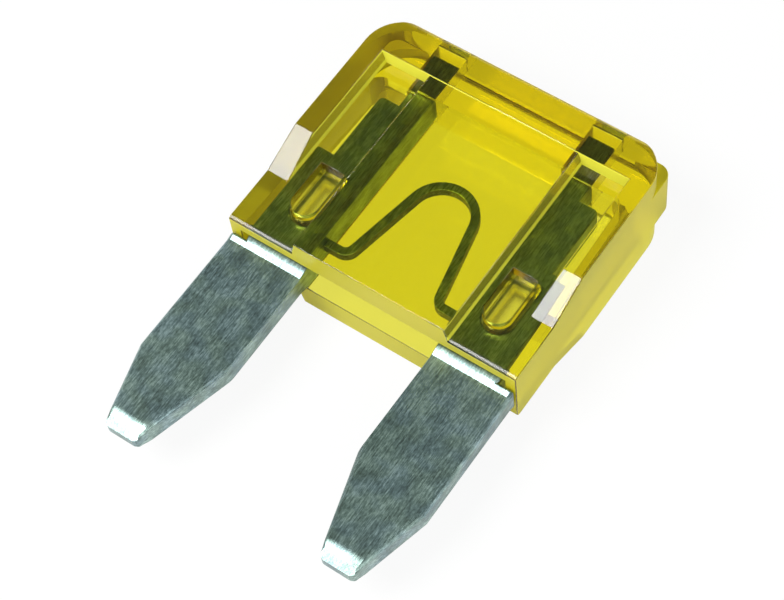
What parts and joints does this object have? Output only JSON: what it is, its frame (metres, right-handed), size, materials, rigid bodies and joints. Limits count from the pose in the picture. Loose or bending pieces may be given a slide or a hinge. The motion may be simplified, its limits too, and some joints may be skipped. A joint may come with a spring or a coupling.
{
  "type": "automotive blade fuse",
  "caption": "Small blade fuse: a transparent yellow moulded housing over a stamped zinc element with blade terminals and a curved fusible link.",
  "frame": {"origin": "middle of the fuse's footprint, on the plane of its rear face", "axes": "+X across the two blades, +Y from the blade tips to the head, +Z out of the front face"},
  "size_m": [0.0108, 0.0164, 0.0036],
  "materials": {
    "clear_yellow": "gloss",
    "zinc": "brushed"
  },
  "bodies": {
    "root": {"housing": "clear_yellow", "fuse_element": "zinc"}
  },
  "joints": []
}
